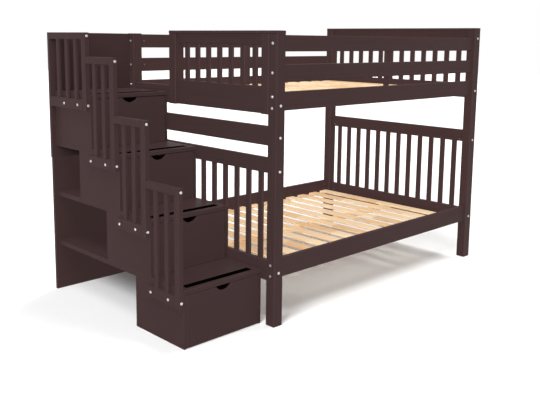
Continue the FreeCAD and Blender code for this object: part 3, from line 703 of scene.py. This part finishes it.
# The drawers' rounded edges take the board's lighter edge paint: partly wear, partly a painted highlight.
board_highlit_edge = board[1]
drawer_paint = espresso_paint("drawer_paint", "x", **FLAT_BOARD)
inside_paint = espresso_paint("inside_paint", "y", **BOX_BOARD)
bottom_paint = espresso_paint("bottom_paint", "y", **BOTTOM_BOARD)
for number in STEPS:
    round_over(f"drawer_{number}_front", (drawer_paint, board_highlit_edge))
    round_over(f"drawer_{number}_box", (inside_paint, board_highlit_edge), BOX_ROUND)
    round_over(f"drawer_{number}_bottom", (bottom_paint, board_highlit_edge), BOTTOM_ROUND)

# Drawer tracks: a rolled steel channel on each bay wall and on each drawer side, with a nylon
# roller. The drawer's channel runs out with the drawer and leaves the bay's channel behind.
CHANNEL_WALL = 0.0012
CHANNEL_LIP = 0.004
CHANNEL_BEND = 0.0004
CHANNEL_BEND_STEPS = 2
CHANNEL_REACH = 0.0001
ROLLER_RADIUS = 0.010
ROLLER_WIDTH = 0.0046
ROLLER_SIDES = 28
ROLLER_SETBACK = 0.016
ROLLER_DISHES = ((0.3, -0.2), (0.35, 0.15))
NYLON_DULL = (0.72, 0.70, 0.62, 1)
NYLON_WHITE = (0.82, 0.81, 0.77, 1)
NYLON_ROUGHNESS = (0.35, 0.6)
NYLON_NOISE = {"Scale": 90.0, "Detail": 3.0}
TRACK_STEEL = {"colour": (0.50, 0.50, 0.51, 1), "roughness": (0.35, 0.55), "scratch_scale": 500.0}
track_steel = bright_metal("track_steel", **TRACK_STEEL)


def nylon(name):
    """White moulded nylon, slightly yellowed, with a dull bearing surface."""
    material, tree, shader, place = new_material(name)
    clouds = add_noise(tree, place, NYLON_NOISE)
    tree.links.new(mix_colours(tree, clouds, NYLON_DULL, NYLON_WHITE), shader.inputs["Base Color"])
    tree.links.new(rescale(tree, clouds, (0, 1), NYLON_ROUGHNESS), shader.inputs["Roughness"])
    return material


roller_nylon = nylon("roller_nylon")


def select_faces(piece, wanted):
    """In edit mode, selects only the faces whose centre and normal pass a test."""
    bpy.ops.mesh.select_mode(type="FACE")
    bpy.ops.mesh.select_all(action="DESELECT")
    bpy.ops.object.mode_set(mode="OBJECT")
    for face in piece.data.polygons:
        face.select = wanted(face.center, face.normal)
    bpy.ops.object.mode_set(mode="EDIT")


def add_channel(name, low, high, open_side):
    """A rolled channel in a box, with its web on one wall and its lips turned in on the open side."""
    web_x, lip_x = (low.x, high.x) if open_side > 0 else (high.x, low.x)
    deselect()
    bpy.ops.mesh.primitive_plane_add(size=1, location=(web_x, (low.y + high.y) / 2, (low.z + high.z) / 2))
    channel = bpy.context.object
    channel.name = name
    channel.rotation_euler = (0, math.pi / 2, 0)
    channel.scale = (high.z - low.z, high.y - low.y, 1)
    bpy.ops.object.transform_apply(location=True, rotation=True, scale=True)
    bpy.ops.object.mode_set(mode="EDIT")
    for level, turn in ((low.z, 1), (high.z, -1)):
        select_edges(
            channel, lambda a, b: max(abs(a.z - level), abs(b.z - level), abs(a.x - web_x)) < CHANNEL_REACH,
        )
        bpy.ops.mesh.extrude_region_move(TRANSFORM_OT_translate={"value": (lip_x - web_x, 0, 0)})
        bpy.ops.mesh.extrude_region_move(TRANSFORM_OT_translate={"value": (0, 0, turn * CHANNEL_LIP)})
    bpy.ops.mesh.select_all(action="SELECT")
    bpy.ops.mesh.normals_make_consistent(inside=False)
    bpy.ops.object.mode_set(mode="OBJECT")
    web = [face for face in channel.data.polygons if abs(face.center.x - web_x) < CHANNEL_REACH]
    wall = channel.modifiers.new("wall", "SOLIDIFY")
    wall.thickness = CHANNEL_WALL
    wall.offset = 1 if sum(face.normal.x * face.area for face in web) * open_side > 0 else -1
    bends = channel.modifiers.new("bends", "BEVEL")
    bends.width = CHANNEL_BEND
    bends.segments = CHANNEL_BEND_STEPS
    bends.limit_method = "ANGLE"
    bpy.ops.object.modifier_apply(modifier="wall")
    bpy.ops.object.modifier_apply(modifier="bends")
    channel.data.materials.append(track_steel)
    smooth(channel)
    return channel


def add_roller(name, centre):
    """A nylon roller on a stub along X, with a dished face."""
    deselect()
    bpy.ops.mesh.primitive_cylinder_add(
        vertices=ROLLER_SIDES, radius=ROLLER_RADIUS, depth=ROLLER_WIDTH, location=centre,
        rotation=(0, math.pi / 2, 0),
    )
    roller = bpy.context.object
    roller.name = name
    bpy.ops.object.transform_apply(location=True, rotation=True)
    bpy.ops.object.mode_set(mode="EDIT")
    select_faces(roller, lambda middle, normal: abs(normal.x) > abs(normal.y) + abs(normal.z))
    for rim_share, depth_share in ROLLER_DISHES:
        bpy.ops.mesh.inset(
            thickness=rim_share * ROLLER_RADIUS, depth=depth_share * ROLLER_WIDTH, use_individual=True,
        )
    bpy.ops.object.mode_set(mode="OBJECT")
    roller.data.materials.append(roller_nylon)
    smooth(roller)
    return roller


bay_boxes = [box_of(corners) for corners in separate_solids("drawer_bay_tracks")]
bay_boxes.sort(key=lambda box: (box[0].z, box[0].x))
for number in STEPS:
    drawer = f"drawer_{number}"
    run_boxes = [box_of(corners) for corners in separate_solids(f"{drawer}_tracks")]
    run_boxes.sort(key=lambda box: box[0].x)
    pair = bay_boxes[2 * number - 2:2 * number]
    for side, open_side, (low, high), (bay_low, bay_high) in zip(("left", "right"), (1, -1), run_boxes, pair):
        bay = add_channel(f"bay_track_{number}_{side}", bay_low, bay_high, open_side)
        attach(bay, "frame")
        run = add_channel(f"drawer_track_{number}_{side}", low, high, -open_side)
        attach(run, drawer)
        bay_seat, run_seat = (bay_low + bay_high) / 2, (low + high) / 2
        bay_seat.y = bay_low.y + ROLLER_SETBACK
        run_seat.y = high.y - ROLLER_SETBACK
        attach(add_roller(f"bay_roller_{number}_{side}", bay_seat), "frame")
        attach(add_roller(f"drawer_roller_{number}_{side}", run_seat), drawer)
    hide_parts(f"{drawer}_tracks")
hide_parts("drawer_bay_tracks")

# Floor: a plain pale studio floor that runs out to white, so that only the shadow under the bed shows.
# What it sends back up to the bed is dimmer than what the camera sees of it, so the faces keep
# their own tone.
FLOOR_SIZE = 60.0
FLOOR_DROP = 0.0005
FLOOR_COLOUR = (0.880, 0.880, 0.880, 1)
FLOOR_LIFT = 0.10
FLOOR_BOUNCE = (0.26, 0.26, 0.26, 1)
WHITE = (1, 1, 1, 1)


def seen_ray(tree):
    """One on rays that show the background: from the camera, or by way of gloss or glass."""
    rays = add_node(tree, "ShaderNodeLightPath").outputs
    by_gloss = work_out(tree, "MAXIMUM", rays["Is Glossy Ray"], rays["Is Transmission Ray"])
    return work_out(tree, "MAXIMUM", rays["Is Camera Ray"], by_gloss)


deselect()
bpy.ops.mesh.primitive_plane_add(size=FLOOR_SIZE, location=(0, 0, -FLOOR_DROP))
floor = bpy.context.object
floor.name = "floor"
floor_paint, floor_tree, floor_shader, _ = new_material("floor_paint")
floor_shader.inputs["Roughness"].default_value = 1.0
floor_shader.inputs["Specular IOR Level"].default_value = 0.0
floor_shader.inputs["Emission Color"].default_value = WHITE
floor_seen = seen_ray(floor_tree)
floor_tone = mix_colours(floor_tree, floor_seen, FLOOR_BOUNCE, FLOOR_COLOUR)
floor_lift = work_out(floor_tree, "MULTIPLY", floor_seen, FLOOR_LIFT)
floor_tree.links.new(floor_tone, floor_shader.inputs["Base Color"])
floor_tree.links.new(floor_lift, floor_shader.inputs["Emission Strength"])
floor.data.materials.append(floor_paint)

# Light: a soft white studio, with a broad lamp high in front, and fill lamps without shadows, as from
# large reflectors, that keep the recesses of the stairs nearly as light as the faces.
# What closes in the drawers is lit from the front with shadows, and the floor has two lamps for its own.
STUDIO_LIGHT = 0.18
LAMPS = {
    "top_lamp": dict(power=0.85, spread=26, comes_from=(-0.38, -0.36, 1.0), lights="everything"),
    "left_floor_lamp": dict(power=2.70, spread=22, comes_from=(-1.05, -0.38, 1.0), lights="floor"),
    "right_floor_lamp": dict(power=2.10, spread=22, comes_from=(0.42, 0.04, 1.0), lights="floor"),
    "front_fill": dict(power=3.65, spread=10, comes_from=(-0.67, -0.63, 0.40), lights="open_faces"),
    "bay_fill": dict(power=3.40, spread=60, comes_from=(-0.60, -0.78, 0.12), lights="enclosed"),
    "shelf_fill": dict(power=2.40, spread=60, comes_from=(-1.0, -0.20, 0.15), lights="enclosed"),
    "back_fill": dict(power=2.00, spread=10, comes_from=(0.60, 0.72, 0.36), lights="bed"),
}
SHADOWLESS = ("front_fill", "back_fill")
NOT_MIRRORED = ("shelf_fill", "back_fill")
studio = bpy.data.worlds.new("studio")
scene.world = studio
studio.use_nodes = True
studio_tree = studio.node_tree
studio_light = studio_tree.nodes["Background"]
studio_light.inputs["Color"].default_value = WHITE
studio_strength = rescale(studio_tree, seen_ray(studio_tree), (0, 1), (STUDIO_LIGHT, 1))
studio_tree.links.new(studio_strength, studio_light.inputs["Strength"])
enclosed = ["stair_back_upper", "stair_right_panels", "drawer_bay_partitions"]
enclosed += [f"drawer_{number}_{piece}" for number in STEPS for piece in ("box", "bottom")]
enclosed = [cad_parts[name] for name in enclosed]
lit = {}
for subject, state, listed in (
    ("floor", "INCLUDE", [floor]),
    ("enclosed", "INCLUDE", enclosed),
    ("bed", "EXCLUDE", [floor]),
    ("open_faces", "EXCLUDE", [floor] + enclosed),
):
    lit[subject] = bpy.data.collections.new(f"{subject}_lit")
    for piece in listed:
        lit[subject].objects.link(piece)
    for entry in lit[subject].collection_objects:
        entry.light_linking.link_state = state
for name, facts in LAMPS.items():
    light = bpy.data.lights.new(name, "SUN")
    light.energy = facts["power"]
    light.angle = math.radians(facts["spread"])
    light.use_shadow = name not in SHADOWLESS
    lamp = bpy.data.objects.new(name, light)
    lamp.rotation_euler = Vector(facts["comes_from"]).to_track_quat("Z", "Y").to_euler()
    lamp.visible_glossy = name not in NOT_MIRRORED
    lamp.light_linking.receiver_collection = lit.get(facts["lights"])
    scene.collection.objects.link(lamp)

# Camera: at the photograph's angle, in front of the stair end and just under the height of the top cap.
# Place, angles and lens come from fitting the frame's corners to the picture, which is 540 pixels wide.
CAMERA_PLACE = Vector((-3.4467, -3.4408, 1.5914))
CAMERA_YAW = math.radians(45.773)
CAMERA_PITCH = math.radians(8.556)
CAMERA_ROLL = math.radians(0.667)
CAMERA_SHIFT = -0.10
CAMERA_REACH = 200
SENSOR_WIDTH = 36
PICTURE_WIDTH = 540
FOCAL_PIXELS = 723.8
camera_data = bpy.data.cameras.new("camera")
camera_data.sensor_width = SENSOR_WIDTH
camera_data.lens = FOCAL_PIXELS / PICTURE_WIDTH * SENSOR_WIDTH
camera_data.shift_y = CAMERA_SHIFT
camera_data.clip_end = CAMERA_REACH
camera = bpy.data.objects.new("camera", camera_data)
camera.matrix_world = (
    Matrix.Translation(CAMERA_PLACE)
    @ Matrix.Rotation(CAMERA_YAW - math.pi / 2, 4, "Z")
    @ Matrix.Rotation(math.pi / 2 - CAMERA_PITCH, 4, "X")
    @ Matrix.Rotation(CAMERA_ROLL, 4, "Z")
)
scene.collection.objects.link(camera)
scene.camera = camera
